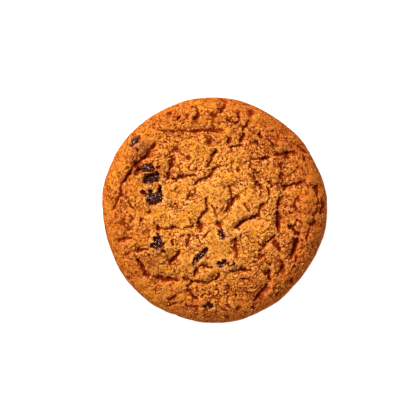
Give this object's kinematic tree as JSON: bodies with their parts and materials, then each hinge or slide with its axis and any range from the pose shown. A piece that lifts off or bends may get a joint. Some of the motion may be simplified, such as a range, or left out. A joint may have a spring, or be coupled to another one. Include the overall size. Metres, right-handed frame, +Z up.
{
  "type": "lemon raisin cookie",
  "caption": "Round, thick drop cookie with a cracked, lumpy, browned top, a flat base and dark raisins set into the top.",
  "frame": {"origin": "on the flat base, under the centre of the outline", "axes": "+Z up out of the cracked top; +Y to the top of the picture and +X to its right"},
  "size_m": [0.085, 0.0851, 0.0129],
  "materials": {
    "dough": "dry, crumbly, golden-brown baked crust",
    "raisin": "wrinkled, slightly glossy, near-black purple-brown skin"
  },
  "bodies": {
    "root": {"cookie": "dough", "raisin_rim": "raisin", "raisin_bank_upper": "raisin", "raisin_bank_lower": "raisin", "raisin_large": "raisin", "raisin_west": "raisin", "raisin_strip": "raisin", "raisin_south_centre": "raisin", "raisin_small_centre": "raisin", "raisin_south_rim": "raisin"}
  },
  "joints": []
}
